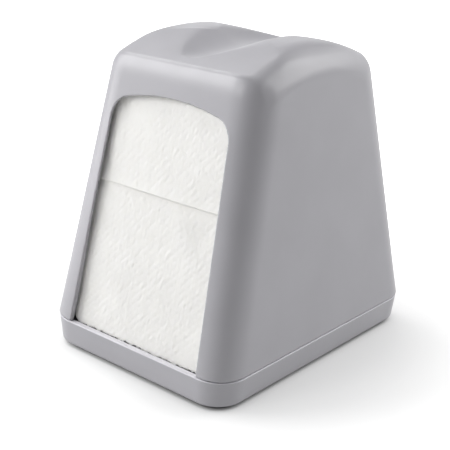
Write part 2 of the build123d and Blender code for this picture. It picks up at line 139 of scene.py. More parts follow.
def top_height(x, y):
    """Height of the lobed top over a point in plan."""
    across = np.clip(np.abs(x), 0, TOP.limit)
    along = np.clip(np.abs(y), 0, TOP.limit)
    height = TOP.crest - TOP.fall * (along / TOP.fall_y) ** TOP.fall_power
    shoulder = np.clip(across - TOP.shoulder_x, 0, None) / (TOP.shoulder_end - TOP.shoulder_x)
    height = height - TOP.shoulder_fall * shoulder ** TOP.shoulder_power
    corner = np.hypot(np.clip(across - TOP.corner_x, 0, None),
                      np.clip(along - TOP.corner_y, 0, None))
    height = height - TOP.corner_fall * np.clip(corner - TOP.corner_start, 0, None) ** 2
    inward = np.clip(1 - (along / TOP.length) ** 2, 0, 1)
    half = TOP.half_end + (TOP.half - TOP.half_end) * inward ** TOP.half_power
    dip = 1 - (across / half) ** 2
    dip = 0.5 * (dip + np.sqrt(dip * dip + TOP.rim ** 2))
    return height - TOP.depth * inward ** TOP.depth_power * dip


def hood_solid(x, y, z):
    """Distance-like field of the hood's outside, as if it were solid."""
    half_x = HALF_X - LEAN_X * (z - SPLIT_Z)
    half_y = HALF_Y - LEAN_Y * (z - SPLIT_Z)
    rise = np.clip((z - SPLIT_Z) / (TOP.plan_high_z - SPLIT_Z), 0, 1)
    corner = TOP.plan_low + (TOP.plan_high - TOP.plan_low) * rise
    past_x = (np.abs(x) - half_x) * (1 / math.hypot(1, LEAN_X))
    past_y = (np.abs(y) - half_y) * (1 / math.hypot(1, LEAN_Y))
    sides = intersect_soft(past_x, past_y, corner, TOP.plan_power)

    plain = step01(0.5 + (past_x - past_y) / TOP.block_blend)   # 0 at the windows, 1 at the sides
    block = TOP.block_front + (TOP.block_side - TOP.block_front) * plain
    block_round = TOP.round_front + (TOP.round_side - TOP.round_front) * plain
    body = intersect(sides, z - block, block_round)
    lobes = (z - top_height(x, y)) * TOP.slope
    at_corner = (step01((np.abs(x) - TOP.crease_x) / TOP.crease_wx)
                 * step01((np.abs(y) - TOP.crease_y) / TOP.crease_wy))
    edge = TOP.crease + (TOP.crease_side - TOP.crease) * plain
    return intersect(body, lobes, edge + (TOP.crease_corner - edge) * at_corner)


def window_field(x, z):
    """Negative inside the window's outline, which runs front to back."""
    half = WINDOW.half_low - WINDOW.lean * (z - SPLIT_Z)
    past_top = np.hypot(x, z - (WINDOW.top_z - WINDOW.radius)) - WINDOW.radius
    return intersect(np.abs(x) - half, past_top, WINDOW.corner)


def lug_field(x, y, z, outer):
    """The latch lugs on the plain sides: a plate with an opening, and a web to the wall."""
    x = np.abs(x)
    (x0, x1), (z0, z1) = LUG.x, LUG.z
    plate = box_field(x, y, z, (x0, -LUG.half_y, z0), (x1, LUG.half_y, z1))
    web = box_field(x, y, z, (x0, -LUG.half_y, LUG.web_z), (LUG.web_x, LUG.half_y, z1))
    eye = box_field(x, y, z, (x0 - 1, -LUG.eye_half_y, LUG.eye_z[0]),
                    (x1 + 1, LUG.eye_half_y, LUG.eye_z[1]))
    lug = intersect(np.minimum(plate, web), -eye, LUG.round)
    lug = np.where(outer < -LUG.skin, lug, np.maximum(lug, outer + LUG.skin))
    return np.where(z < SPLIT_Z, intersect(plate, -eye, LUG.round), lug)


def hood_field(points):
    x, y, z = points[..., 0], points[..., 1], points[..., 2]
    outer = hood_solid(x, y, z)
    shell = intersect(outer, -(outer + WALL), RIM_ROUND)
    shell = intersect(shell, (SPLIT_Z + SPLIT_GAP / 2) - z, EDGE_ROUND)
    # the lip is straight at the feet and widens inward higher up
    flare = (np.clip(-outer - WINDOW.lip, 0, WINDOW.flare)
             * step01((z - WINDOW.flare_z) / WINDOW.flare_rise))
    shell = intersect(shell, -(window_field(x, z) - flare), EDGE_ROUND)
    return np.minimum(shell, lug_field(x, y, z, outer))


# ------------------------------------------------------------------ surface net
CUBE_CORNERS = np.array([[a, b, c] for a in (0, 1) for b in (0, 1) for c in (0, 1)])


def gradient(field, points, reach=0.02):
    return np.stack([(field(points + shift) - field(points - shift)) / (2 * reach)
                     for shift in np.eye(3) * reach], -1)


def shortened(vectors, longest):
    """Vectors cut to a greatest length."""
    length = np.linalg.norm(vectors, axis=1, keepdims=True)
    return vectors * np.minimum(1, longest / np.maximum(length, 1e-9))


def crossing_means(values, cells):
    """The mean of the surface crossings on each cell's edges, in grid units."""
    total = np.zeros((len(cells), 3))
    count = np.zeros(len(cells))
    for i, first in enumerate(CUBE_CORNERS):
        for second in CUBE_CORNERS[i + 1:]:
            if np.abs(first - second).sum() != 1:
                continue
            start, end = cells + first, cells + second
            at_start = values[tuple(start.T)].astype(float)
            at_end = values[tuple(end.T)].astype(float)
            crossed = (at_start < 0) != (at_end < 0)
            part = at_start[crossed] / (at_start[crossed] - at_end[crossed])
            total[crossed] += start[crossed] + (end[crossed] - start[crossed]) * part[:, None]
            count[crossed] += 1
    return total / count[:, None]


def pull_to_surface(field, points, spacing, rounds=3):
    start = points
    for _ in range(rounds):
        slope = gradient(field, points)
        steepness = np.maximum((slope * slope).sum(1), 0.3)
        step = -slope * (field(points) / steepness)[:, None]
        points = points + shortened(step, 0.25 * spacing)
        points = start + shortened(points - start, 0.45 * spacing)
    return points


def crossing_quads(inside, cell_ids):
    """One quad round each grid edge that crosses the surface, all wound the same way."""
    found = []
    for axis in range(3):
        one, two = [k for k in range(3) if k != axis]
        crossings = np.argwhere(np.diff(inside, axis=axis))
        crossings = crossings[(crossings[:, one] > 0) & (crossings[:, two] > 0)]
        corners = []
        for back_one, back_two in ((1, 1), (0, 1), (0, 0), (1, 0)):
            cell = crossings.copy()
            cell[:, one] -= back_one
            cell[:, two] -= back_two
            corners.append(cell_ids[tuple(cell.T)])
        quads = np.stack(corners, 1)
        turn = inside[tuple(crossings.T)] == (axis == 1)
        quads[turn] = quads[turn][:, ::-1]
        found.append(quads)
    found = np.concatenate(found)
    return found[(found >= 0).all(1)]


def surface_net(field, low, high, spacing):
    """Points, quads and normals of a closed mesh on field = 0."""
    axes = [np.arange(a - 1.5 * spacing, b + 2.5 * spacing, spacing) for a, b in zip(low, high)]
    values = np.empty([len(axis) for axis in axes], np.float32)
    y, z = np.meshgrid(axes[1], axes[2], indexing="ij")
    for i, x in enumerate(axes[0]):
        values[i] = field(np.stack([np.full_like(y, x), y, z], -1))
    inside = values < 0
    nx, ny, nz = (n - 1 for n in values.shape)
    count = np.zeros((nx, ny, nz), np.uint8)
    for a, b, c in CUBE_CORNERS:
        count += inside[a:nx + a, b:ny + b, c:nz + c]
    active = (count > 0) & (count < 8)
    cells = np.argwhere(active)
    cell_ids = -np.ones(active.shape, np.int64)
    cell_ids[active] = np.arange(len(cells))

    origin = np.array([axis[0] for axis in axes])
    points = origin + crossing_means(values, cells) * spacing
    points = pull_to_surface(field, points, spacing)
    slope = gradient(field, points)
    normals = slope / np.maximum(np.linalg.norm(slope, axis=1, keepdims=True), 1e-9)
    return points, crossing_quads(inside, cell_ids), normals


# ------------------------------------------------------------------ objects
def add_object(name, data):
    item = bpy.data.objects.new(name, data)
    bpy.context.scene.collection.objects.link(item)
    return item


def quad_object(name, points, quads, material, normals=None):
    """A smooth quad mesh from points in mm."""
    mesh = bpy.data.meshes.new(name)
    mesh.vertices.add(len(points))
    mesh.vertices.foreach_set("co", (points * MM).astype(np.float32).ravel())
    mesh.loops.add(len(quads) * 4)
    mesh.loops.foreach_set("vertex_index", quads.astype(np.int32).ravel())
    mesh.polygons.add(len(quads))
    mesh.polygons.foreach_set("loop_start", (np.arange(len(quads)) * 4).astype(np.int32))
    mesh.update(calc_edges=True)
    mesh.validate()
    mesh.shade_smooth()
    if normals is not None:
        mesh.normals_split_custom_set_from_vertices([tuple(n) for n in normals])
    mesh.materials.append(material)
    return add_object(name, mesh)


def register(item, body, node_name):
    """Let an object ride on a body in place of a CAD node."""
    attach(item, body)
    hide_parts(node_name)


# ------------------------------------------------------------------ shader helpers
class Nodes:
    """Builds one node tree. Inputs are given as values or as the sockets that feed them."""

    def __init__(self, owner):
        owner.use_nodes = True
        self.tree = owner.node_tree
        self.tree.nodes.clear()

    def add(self, kind, inputs, **settings):
        made = self.tree.nodes.new("ShaderNode" + kind)
        for key, value in settings.items():
            setattr(made, key, value)
        for key, value in inputs.items():
            if isinstance(value, bpy.types.NodeSocket):
                self.tree.links.new(value, made.inputs[key])
            else:
                made.inputs[key].default_value = value
        return made.outputs

    def place(self):
        return self.add("TexCoord", {})["Object"]

    def noise(self, place, scale, detail, roughness, distortion=0.0):
        return self.add("TexNoise", {"Vector": place, "Scale": scale, "Detail": detail,
                                     "Roughness": roughness, "Distortion": distortion})["Fac"]

    def remap(self, value, source, target, interpolation="LINEAR"):
        """Map the range source onto the range target."""
        return self.add("MapRange", {"Value": value, "From Min": source[0],
                                     "From Max": source[1], "To Min": target[0],
                                     "To Max": target[1]}, interpolation_type=interpolation)[0]

    def smooth(self, value, source, target):
        return self.remap(value, source, target, "SMOOTHSTEP")

    def calc(self, operation, *terms):
        return self.add("Math", dict(enumerate(terms)), operation=operation)[0]

    def mix(self, share, first, second):
        return self.add("Mix", {0: share, 6: first, 7: second}, data_type="RGBA")[2]

    def mottle(self, patches, dark, light):
        return self.mix(self.remap(patches, source=(0.3, 0.7), target=(0, 1)), dark, light)

    def stretch(self, place, scale):
        return self.add("Mapping", {"Vector": place, "Scale": scale})[0]

    def bump(self, height, strength, distance, normal=None):
        inputs = {"Height": height, "Strength": strength, "Distance": distance}
        if normal is not None:
            inputs["Normal"] = normal
        return self.add("Bump", inputs)[0]

    def principled(self, inputs):
        self.add("OutputMaterial", {0: self.add("BsdfPrincipled", inputs)[0]})


def linear(rgb):
    """Linear colour from 8-bit sRGB."""
    return tuple(v / 12.92 if v <= 0.04045 else ((v + 0.055) / 1.055) ** 2.4
                 for v in (k / 255 for k in rgb))


def tint(base, gain=1.0, lift=0.0):
    return (*(min(1, v * gain + lift) for v in base), 1)


# ------------------------------------------------------------------ materials
def plastic(name, rgb, roughness, grain, bevel=0.0, wear_and_painted_highlight=0.0):
    """Satin moulded plastic: fine grain and faint variation, and on the tray a painted highlight
    that lightens the top of its rim where it faces up.
    """
    material = bpy.data.materials.new(name)
    nodes = Nodes(material)
    place = nodes.place()
    base = linear(rgb)
    patches = nodes.noise(place, scale=35, detail=3, roughness=0.5)
    colour = nodes.mottle(patches, dark=tint(base, 0.97), light=tint(base, 1.03))
    # painted highlight: near the split height, the rim's top is lightened in colour where it
    # faces up, standing in for a glint of light
    if wear_and_painted_highlight:
        geometry = nodes.add("NewGeometry", {})
        height = nodes.add("SeparateXYZ", {0: geometry["Position"]})[2]
        facing_up = nodes.add("SeparateXYZ", {0: geometry["Normal"]})[2]
        near_rim = nodes.remap(height, source=((SPLIT_Z - 0.95) * MM, (SPLIT_Z - 0.55) * MM),
                               target=(0.0, 1.0))
        painted_highlight = nodes.remap(facing_up, source=(-0.1, 0.35), target=(0.0, wear_and_painted_highlight))
        colour = nodes.mix(nodes.calc("MULTIPLY", near_rim, painted_highlight), colour, tint(base, 1.7))
    smudge = nodes.noise(place, scale=90, detail=4, roughness=0.6, distortion=0.4)
    fine = nodes.noise(place, scale=5200, detail=2, roughness=0.6)
    middle = nodes.noise(place, scale=900, detail=2, roughness=0.5)
    height = nodes.calc("MULTIPLY_ADD", middle, 0.5, fine)
    edges = nodes.add("Bevel", {"Radius": bevel * MM}, samples=4)[0] if bevel else None
    nodes.principled({
        "Base Color": colour,
        "Roughness": nodes.remap(smudge, source=(0.3, 0.75),
                                 target=(roughness - 0.03, roughness + 0.05)),
        "IOR": 1.49,
        "Specular IOR Level": 0.5,
        "Normal": nodes.bump(height, strength=grain, distance=0.00002, normal=edges)})
    return material


def paper(name, rgb):
    """Soft tissue: fibre noise, faint mottling, a little light coming through."""
    material = bpy.data.materials.new(name)
    nodes = Nodes(material)
    place = nodes.place()
    base = linear(rgb)
    patches = nodes.noise(place, scale=60, detail=4, roughness=0.55)
    fibres = nodes.noise(nodes.stretch(place, scale=(1.0, 1.0, 0.35)),
                         scale=2600, detail=3, roughness=0.65, distortion=0.6)
    lumps = nodes.noise(place, scale=700, detail=3, roughness=0.6)
    nodes.principled({
        "Base Color": nodes.mottle(patches, dark=tint(base, 0.975), light=tint(base, 1.02)),
        "Roughness": 0.92,
        "Specular IOR Level": 0.2,
        "Sheen Weight": 0.15,
        "Sheen Roughness": 0.5,
        "Subsurface Weight": 0.25,
        "Subsurface Radius": (1, 1, 0.9),
        "Subsurface Scale": 0.0008,
        "Normal": nodes.bump(nodes.calc("ADD", fibres, lumps), strength=0.5, distance=0.00006)})
    return material


def metal(name, rgb, roughness):
    material = bpy.data.materials.new(name)
    nodes = Nodes(material)
    place = nodes.place()
    base = linear(rgb)
    patches = nodes.noise(place, scale=300, detail=3, roughness=0.6)
    fine = nodes.noise(nodes.stretch(place, scale=(1, 1, 1)),
                       scale=1500, detail=3, roughness=0.6)
    nodes.principled({
        "Base Color": nodes.mottle(patches, dark=tint(base, 0.88), light=tint(base)),
        "Metallic": 1.0,
        "Roughness": nodes.remap(fine, source=(0.2, 0.8),
                                 target=(roughness - 0.08, roughness + 0.1)),
        "Normal": nodes.bump(fine, strength=0.25, distance=0.00002)})
    return material


def rubber(name, rgb):
    material = bpy.data.materials.new(name)
    nodes = Nodes(material)
    place = nodes.place()
    base = linear(rgb)
    patches = nodes.noise(place, scale=250, detail=4, roughness=0.6)
    fine = nodes.noise(place, scale=2500, detail=2, roughness=0.6)
    nodes.principled({
        "Base Color": nodes.mottle(patches, dark=tint(base),
                                   light=tint(base, gain=1.8, lift=0.004)),
        "Roughness": nodes.remap(patches, source=(0.3, 0.7), target=(0.6, 0.8)),
        "Normal": nodes.bump(fine, strength=0.5, distance=0.00003)})
    return material


HOOD_RGB = (178, 177, 182)
HOOD_PLASTIC = plastic("hood_plastic", HOOD_RGB, roughness=0.32, grain=0.35)
# the base carries a painted highlight: its rim top is lighter in colour where it faces up
BASE_PLASTIC = plastic("base_plastic", HOOD_RGB, roughness=0.32, grain=0.35, wear_and_painted_highlight=0.85)
INNER_PLASTIC = plastic("inner_plastic", (120, 120, 124), roughness=0.45, grain=0.5, bevel=0.3)
PUSHER_PLASTIC = plastic("pusher_plastic", (138, 138, 143), roughness=0.45, grain=0.5, bevel=0.3)
LATCH_PLASTIC = plastic("latch_plastic", (58, 58, 60), roughness=0.4, grain=0.4, bevel=0.2)
SPRING_STEEL = metal("spring_steel", (190, 190, 192), roughness=0.28)
SCREW_STEEL = metal("screw_steel", (200, 200, 204), roughness=0.32)
FOOT_RUBBER = rubber("foot_rubber", (24, 24, 25))
NAPKIN_PAPER = paper("napkin_paper", (246, 245, 241))
STACK_PAPER = paper("stack_paper", (243, 242, 238))

# CAD nodes that stay, by material
CAD_LOOK = (
    (BASE_PLASTIC, ("base_tray",)),
    (INNER_PLASTIC, ("bottom_plate", "spine")),
    (PUSHER_PLASTIC, ("front_pusher", "rear_pusher")),
    (LATCH_PLASTIC, ("left_latch", "right_latch")),
    (SCREW_STEEL, ("spine_screws", "bottom_plate_screws")),
    (FOOT_RUBBER, ("front_left_foot", "front_right_foot", "rear_left_foot", "rear_right_foot")),
)
for look, node_names in CAD_LOOK:
    for node_name in node_names:
        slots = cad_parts[node_name].data.materials
        slots.clear()
        slots.append(look)


# ------------------------------------------------------------------ hood
def build_hood():
    points, quads, normals = surface_net(hood_field, HOOD_LOW, HOOD_HIGH, HOOD_SPACING)
    hood = quad_object("hood_shell", points, quads, HOOD_PLASTIC, normals)
    register(hood, "hood", "cover")


build_hood()

# ------------------------------------------------------------------ paper dimensions (mm)
PAPER_HALF = 40.0
SIDES = (("front", 1), ("rear", -1))  # name, and the sign that turns a front piece to it

EMBOSS = SimpleNamespace(
    pitch_x=3.7, pitch_z=4.1, turn=math.radians(1.0),  # diamond lattice
    drift=0.25, drift_scale=11.0,                      # wander of the lattice
    dent=0.095, dent_x=0.40, dent_z=0.60,              # dents: depth and spread
    line=0.007, line_width=0.55,                       # diagonals: depth and width
    uneven=0.15, uneven_scale=3.1,                     # variation of both depths
    crepe=0.059, crepe_gain=0.9, crepe_scale=1.25, fine=0.010, fine_scale=0.62)

FLAP_Z = 79.5            # lower edge of the upper sheet, in front of the lower one
FLAP_OVERLAP = 7
SHEET_THICK = 0.35
SHEET_STEP = 0.36
SHEET_NEAREST = 2.72     # least set-back, clear of the hood's wall
FADE_SIDE, FADE_END = 2.0, 1.2  # borders over which the relief fades

STACK_FRONT, STACK_BACK = 4.95, 33.6  # set-backs of the stack
PAPER_LOW, PAPER_HIGH = 12.6, 124.0
PACKETS = 22
PACKET_ROWS = 26
LEAF_POINTS = 37
FOLD_POINTS = 9
WAVY_Z = 60              # the packets' tops undulate above this
CORNER_X, CORNER_BACK = 28.0, 6.0              # front corners: where they give way, how far
WORN_X, WORN_Z, WORN_DROP = 37.0, 100.0, 3.0   # the same for the worn top corners


# ------------------------------------------------------------------ paper helpers
def face_y(z, setback):
    return -(HALF_Y - LEAN_Y * (z - SPLIT_Z)) + setback


def smooth_noise(u, w, seed, scale):
    """Smooth value noise on a plane, seeded."""
    grid = np.random.default_rng(seed).standard_normal((64, 64))
    u, w = u / scale + 20, w / scale + 20
    i, j = np.floor(u).astype(int), np.floor(w).astype(int)
    u, w = u - i, w - j
    u, w = u * u * (3 - 2 * u), w * w * (3 - 2 * w)
    i, j = i % 63, j % 63
    near = grid[i, j] * (1 - u) + grid[i + 1, j] * u
    far = grid[i, j + 1] * (1 - u) + grid[i + 1, j + 1] * u
    return near * (1 - w) + far * w


def emboss(x, z, seed):
    """Height of a pressed diamond lattice: small dents, softly quilted, on creped tissue."""
    cos, sin = math.cos(EMBOSS.turn), math.sin(EMBOSS.turn)
    across = x * cos - z * sin + EMBOSS.drift * smooth_noise(x, z, seed, EMBOSS.drift_scale)
    up = x * sin + z * cos + EMBOSS.drift * smooth_noise(x, z, seed + 1, EMBOSS.drift_scale)
    across, up = across / EMBOSS.pitch_x, up / EMBOSS.pitch_z
    dents = 0.0
    for shift in (0.0, 0.5):
        from_x = ((across + shift) % 1.0 - 0.5) * EMBOSS.pitch_x
        from_z = ((up + shift) % 1.0 - 0.5) * EMBOSS.pitch_z
        dents = dents + np.exp(-(from_x ** 2 / EMBOSS.dent_x + from_z ** 2 / EMBOSS.dent_z))
    apart = 1 / math.hypot(1 / EMBOSS.pitch_x, 1 / EMBOSS.pitch_z)  # spacing of the diagonals
    lines = 0.0
    for t in (across + up + 0.5, across - up + 0.5):
        lines = lines + np.exp(-(((t % 1.0 - 0.5) * apart) / EMBOSS.line_width) ** 2)
    crepe = smooth_noise(x * 0.93 - z * 0.36, z * 0.52 + x * 0.20, seed + 2, EMBOSS.crepe_scale)
    fine = smooth_noise(x * 0.9 - z * 0.2, z * 0.7, seed + 9, EMBOSS.fine_scale)
    depth = 1 + EMBOSS.uneven * smooth_noise(x, z, seed + 3, EMBOSS.uneven_scale)
    return ((-EMBOSS.dent * dents - EMBOSS.line * lines) * depth
            + EMBOSS.crepe * np.tanh(crepe * EMBOSS.crepe_gain) + EMBOSS.fine * fine)


def joined(parts):
    """Several (points, quads) pairs as one."""
    points, quads, start = [], [], 0
    for part_points, part_quads in parts:
        points.append(part_points)
        quads.append(part_quads + start)
        start += len(part_points)
    return np.concatenate(points), np.concatenate(quads)


# ------------------------------------------------------------------ lead napkins
def sheet(z0, z1, half, setback_of, seed, ragged=0.0, round_low=0.0):
    """One sheet of tissue along the window, with real thickness and a ragged lower edge."""
    columns = int(round(2 * half / SHEET_STEP)) + 1
    rows = int(round((z1 - z0) / SHEET_STEP)) + 1
    x, up = np.meshgrid(np.linspace(-half, half, columns), np.linspace(0, 1, rows),
                        indexing="ij")
    low = z0 + ragged * (0.16 * smooth_noise(x, x * 0, seed + 5, 2.3)
                         + 0.30 * smooth_noise(x, x * 0, seed + 6, 0.75))
    if round_low:
        past = np.clip(np.abs(x) - (half - round_low), 0, None)
        low = low + (round_low - np.sqrt(np.maximum(round_low ** 2 - past ** 2, 0)))
    z = low + (z1 - low) * up
    fade = (np.clip((half - np.abs(x)) / FADE_SIDE, 0, 1)
            * np.clip((z - low) / FADE_END, 0, 1) * np.clip((z1 - z) / FADE_END, 0, 1))
    relief = emboss(x, z, seed) * (0.25 + 0.75 * fade)
    wave = (0.16 * smooth_noise(x, z, seed + 1, 14.0)
            + 0.05 * smooth_noise(x, z, seed + 4, 5.0))
    setback = np.maximum(setback_of(x, z) - wave, SHEET_NEAREST)
    front = np.stack([x, face_y(z, setback - relief), z], -1).reshape(-1, 3)
    back_y = face_y(z, setback + SHEET_THICK - relief * 0.6)
    back = np.stack([x, back_y, z], -1).reshape(-1, 3)

    ids = np.arange(columns * rows).reshape(columns, rows)
    behind = columns * rows
    corners = [ids[:-1, :-1].ravel(), ids[1:, :-1].ravel(),
               ids[1:, 1:].ravel(), ids[:-1, 1:].ravel()]
    quads = [np.stack(corners, 1), np.stack(corners[::-1], 1) + behind]
    for line in (ids[:, 0], ids[-1, :], ids[::-1, -1], ids[0, ::-1]):
        quads.append(np.stack([line[:-1], line[:-1] + behind, line[1:] + behind, line[1:]], 1))
    return np.concatenate([front, back]), np.concatenate(quads)


def curl(x, z, base):
    """Set-back whose side edges bend back into the hood's corners, most at the top."""
    edge = np.clip((np.abs(x) - 29.0) / 9.5, 0, 1)
    return base + (0.10 + 1.35 * step01((z - 70.0) / 45.0)) * edge ** 2.5


def lower_setback(x, z):
    return curl(x, z, 3.50) + 0.45 * step01((z - FLAP_Z + 5) / 5.0)


def upper_setback(x, z):
    flap = 0.25 * step01((FLAP_Z + 4 - z) / 4.0)
    return curl(x, z, 3.15) - flap + 0.35 * step01((z - 104) / 18.0)


def build_lead_napkins():
    points, quads = joined([
        sheet(z0=13.55, z1=FLAP_Z + FLAP_OVERLAP, half=39.8, setback_of=lower_setback, seed=11,
              ragged=1.0, round_low=4.2),
        sheet(z0=FLAP_Z, z1=123.6, half=39.2, setback_of=upper_setback, seed=23)])
    for side, sign in SIDES:
        napkin = quad_object(f"{side}_top_napkin", points * (sign, sign, 1), quads, NAPKIN_PAPER)
        register(napkin, "base", f"{side}_lead_napkin")


build_lead_napkins()


# ------------------------------------------------------------------ stacks behind them
def packet_outline(start, depth, leaf, half, reach):
    """Centre line of a folded napkin in plan: two leaves joined by a fold at -X."""
    radius = 0.5 * depth - 0.5 * leaf
    across = np.linspace(-1, 1, LEAF_POINTS)
    across = np.sign(across) * (1 - (1 - np.abs(across)) ** 1.25)  # finer towards the edges

    def one_leaf(x, setback):
        line = np.stack([x, np.full(LEAF_POINTS, setback)], 1)
        return line[line[:, 0] > -(half - radius - 0.05)]

    angle = np.linspace(0.5 * np.pi, 1.5 * np.pi, FOLD_POINTS)
    fold = np.stack([-(half - radius) + radius * np.cos(angle),
                     start + 0.5 * depth - radius * np.sin(angle)], 1)
    return np.concatenate([one_leaf(reach[0] * -across, start + 0.5 * leaf), fold,
                           one_leaf(reach[1] * across, start + depth - 0.5 * leaf)])


def packet(start, depth, seed, fold_side):
    """One folded napkin standing in the stack: a U of tissue in plan, swept upwards."""
    rng = np.random.default_rng(seed)
    half = PAPER_HALF - 0.35
    leaf = 0.40 * depth
    reach = half - rng.uniform(0.1, 0.7, 2)
    path = packet_outline(start, depth, leaf, half, reach)
    along = np.gradient(path, axis=0)
    length = np.maximum(np.linalg.norm(along, axis=1, keepdims=True), 1e-9)
    normal = np.stack([-along[:, 1], along[:, 0]], 1) / length
    ring = np.concatenate([path + normal * leaf * 0.5, (path - normal * leaf * 0.5)[::-1]])
    z0 = PAPER_LOW + rng.uniform(0.0, 0.25)
    z1 = PAPER_HIGH - rng.uniform(0.0, 1.3)
    shape = (PACKET_ROWS, len(ring))
    x = np.broadcast_to(ring[:, 0], shape)
    setback = np.broadcast_to(ring[:, 1], shape)
    z = np.broadcast_to(np.linspace(z0, z1, PACKET_ROWS)[:, None], shape)

    # each packet sits a little to one side and waves a little
    shift = rng.uniform(-0.35, 0.15) + 0.15 * smooth_noise(z, z * 0 + seed * 3.1, seed + 40, 18.0)
    x = np.clip(x + shift, -PAPER_HALF + 0.02, PAPER_HALF - 0.02)
    wave = (0.16 * depth * smooth_noise(x + 60, z, seed + 41, 9.0)
            * np.clip((PAPER_HALF - np.abs(x)) / 6, 0.2, 1))
    setback = setback + np.clip(wave, -0.14 * depth, 0.14 * depth)
    ripple = smooth_noise(x + 80, setback * 0 + seed, seed + 42, 14.0)
    rise = (z - WAVY_Z) / (PAPER_HIGH - WAVY_Z)
    z = z + np.where(z > WAVY_Z, 0.25, 0.0) * ripple * rise
    if fold_side < 0:
        x = -x
    # the front corners of the stack give way to the hood's rounded corners
    edge = np.clip((np.abs(x) - CORNER_X) / (PAPER_HALF - CORNER_X), 0, 1)
    front = STACK_FRONT + CORNER_BACK * edge ** 3
    setback = (STACK_BACK - (STACK_BACK - setback) * (STACK_BACK - front)
               / (STACK_BACK - STACK_FRONT))
    # and its top corners are rubbed round, clear of the hood when the stack is pressed flat
    wear_and_painted_highlight = np.clip((np.abs(x) - WORN_X) / (PAPER_HALF - WORN_X), 0, 1)
    z = z - WORN_DROP * wear_and_painted_highlight ** 2 * np.clip((z - WORN_Z) / (PAPER_HIGH - WORN_Z), 0, 1)
    points = np.stack([x, face_y(z, setback), z], -1).reshape(-1, 3)

    ids = np.arange(len(points)).reshape(shape)
    low, high = ids[:-1], ids[1:]
    walls = np.stack([low, np.roll(low, -1, 1), np.roll(high, -1, 1), high], -1)
    quads = [walls.reshape(-1, 4)]
    for row, order in ((ids[0], -1), (ids[-1], 1)):
        first, second = row[:len(path)], row[len(path):][::-1]
        cap = np.stack([first[:-1], first[1:], second[1:], second[:-1]], 1)
        quads.append(cap[:, ::order])
    return points, np.concatenate(quads)[:, ::fold_side]


def facing_out(points, quads):
    """The quads, turned if need be so that their volume is positive."""
    a, b, c, d = (points[quads[:, k]] for k in range(4))
    volume = (np.einsum("ij,ij->i", a, np.cross(b, c)).sum()
              + np.einsum("ij,ij->i", a, np.cross(c, d)).sum())
    return quads if volume > 0 else quads[:, ::-1]


def build_stacks():
    pitch = (STACK_BACK - STACK_FRONT) / PACKETS
    points, quads = joined([
        packet(STACK_FRONT + i * pitch + 0.02, pitch * 0.97, seed=100 + i,
               fold_side=1 if i % 2 else -1)
        for i in range(PACKETS)])
    quads = facing_out(points, quads)
    for side, sign in SIDES:
        stack = quad_object(f"{side}_folded_stack", points * (sign, sign, 1), quads, STACK_PAPER)
        register(stack, "base", f"{side}_napkin_stack")
        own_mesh(stack)


build_stacks()

# ------------------------------------------------------------------ springs
WIRE_SIDES = 12
PUSHER_COIL = dict(axis=1, radius=4.7, wire=0.5, turns=8)   # wire is the wire's radius
LATCH_COIL = dict(axis=0, radius=2.0, wire=0.25, turns=9)


def tube(path, radius):
    """A closed tube along a path that sets off across X, its ends capped with fans."""
    along = np.gradient(path, axis=0)
    along /= np.linalg.norm(along, axis=1, keepdims=True)
    normal = np.empty_like(path)
    normal[0] = np.cross(along[0], (1.0, 0, 0))
    normal[0] /= np.linalg.norm(normal[0])
    for i in range(1, len(path)):
        carried = normal[i - 1] - along[i] * (normal[i - 1] @ along[i])
        normal[i] = carried / np.linalg.norm(carried)
    binormal = np.cross(along, normal)
    angle = np.linspace(0, 2 * np.pi, WIRE_SIDES, endpoint=False)[None, :, None]
    ring = normal[:, None] * np.cos(angle) + binormal[:, None] * np.sin(angle)
    points = (path[:, None] + ring * radius).reshape(-1, 3)
    ids = np.arange(len(points)).reshape(-1, WIRE_SIDES)
    low, high = ids[:-1], ids[1:]
    quads = np.stack([low, np.roll(low, -1, 1), np.roll(high, -1, 1), high], -1).reshape(-1, 4)
    tips = [path[0] - along[0] * radius * 0.3, path[-1] + along[-1] * radius * 0.3]
    start, end = len(points), len(points) + 1
    fans = [(start, b, a) for a, b in zip(ids[0], np.roll(ids[0], -1))]
    fans += [(a, b, end) for a, b in zip(ids[-1], np.roll(ids[-1], -1))]
    return np.concatenate([points, tips]), quads, fans


def coil_path(length, radius, wire, turns, closed=1.1, per_turn=28):
    """Centre line of a compression spring along +Z, end coils closed and ground."""
    turn = np.linspace(0, turns, turns * per_turn + 1)
    opening = step01(turn / closed) * step01((turns - turn) / closed)
    rise = np.cumsum(opening)
    rise = rise / rise[-1]
    closed_part = np.minimum(turn, closed) + np.clip(turn - (turns - closed), 0, None)
    z = wire + (length - 2 * wire - 2 * wire * closed) * rise + wire * closed_part
    angle = 2 * np.pi * turn
    return np.stack([radius * np.cos(angle), radius * np.sin(angle), z], 1)


def spring(name, node_name, moving_body, base_end, axis, radius, wire, turns):
    """A spring filling a CAD node's box along axis; base_end only swaps two end points that
    nothing uses.
    """
    low, high = (np.array(corner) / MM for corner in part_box(node_name))
    middle = (low + high) / 2
    coil = coil_path(high[axis] - low[axis], radius, wire, turns)
    one, two = [k for k in range(3) if k != axis]
    path = np.empty_like(coil)
    path[:, axis] = low[axis] + coil[:, 2]
    path[:, one] = middle[one] + coil[:, 0]
    path[:, two] = middle[two] + coil[:, 1]
    points, quads, fans = tube(path, wire)

    mesh = bpy.data.meshes.new(name)
    faces = [tuple(map(int, face)) for face in (*quads, *fans)]
    mesh.from_pydata([tuple(p) for p in points * MM], [], faces)
    mesh.validate()
    mesh.shade_smooth()
    shape = bmesh.new()
    shape.from_mesh(mesh)
    bmesh.ops.recalc_face_normals(shape, faces=shape.faces)
    shape.to_mesh(mesh)
    shape.free()
    mesh.materials.append(SPRING_STEEL)
    item = add_object(name, mesh)

    pad = 2.2 * wire
    start, end = middle.copy(), middle.copy()
    start[axis], end[axis] = low[axis] + pad, high[axis] - pad
    if base_end == "high":
        start, end = end, start
    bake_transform(item)
    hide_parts(node_name)


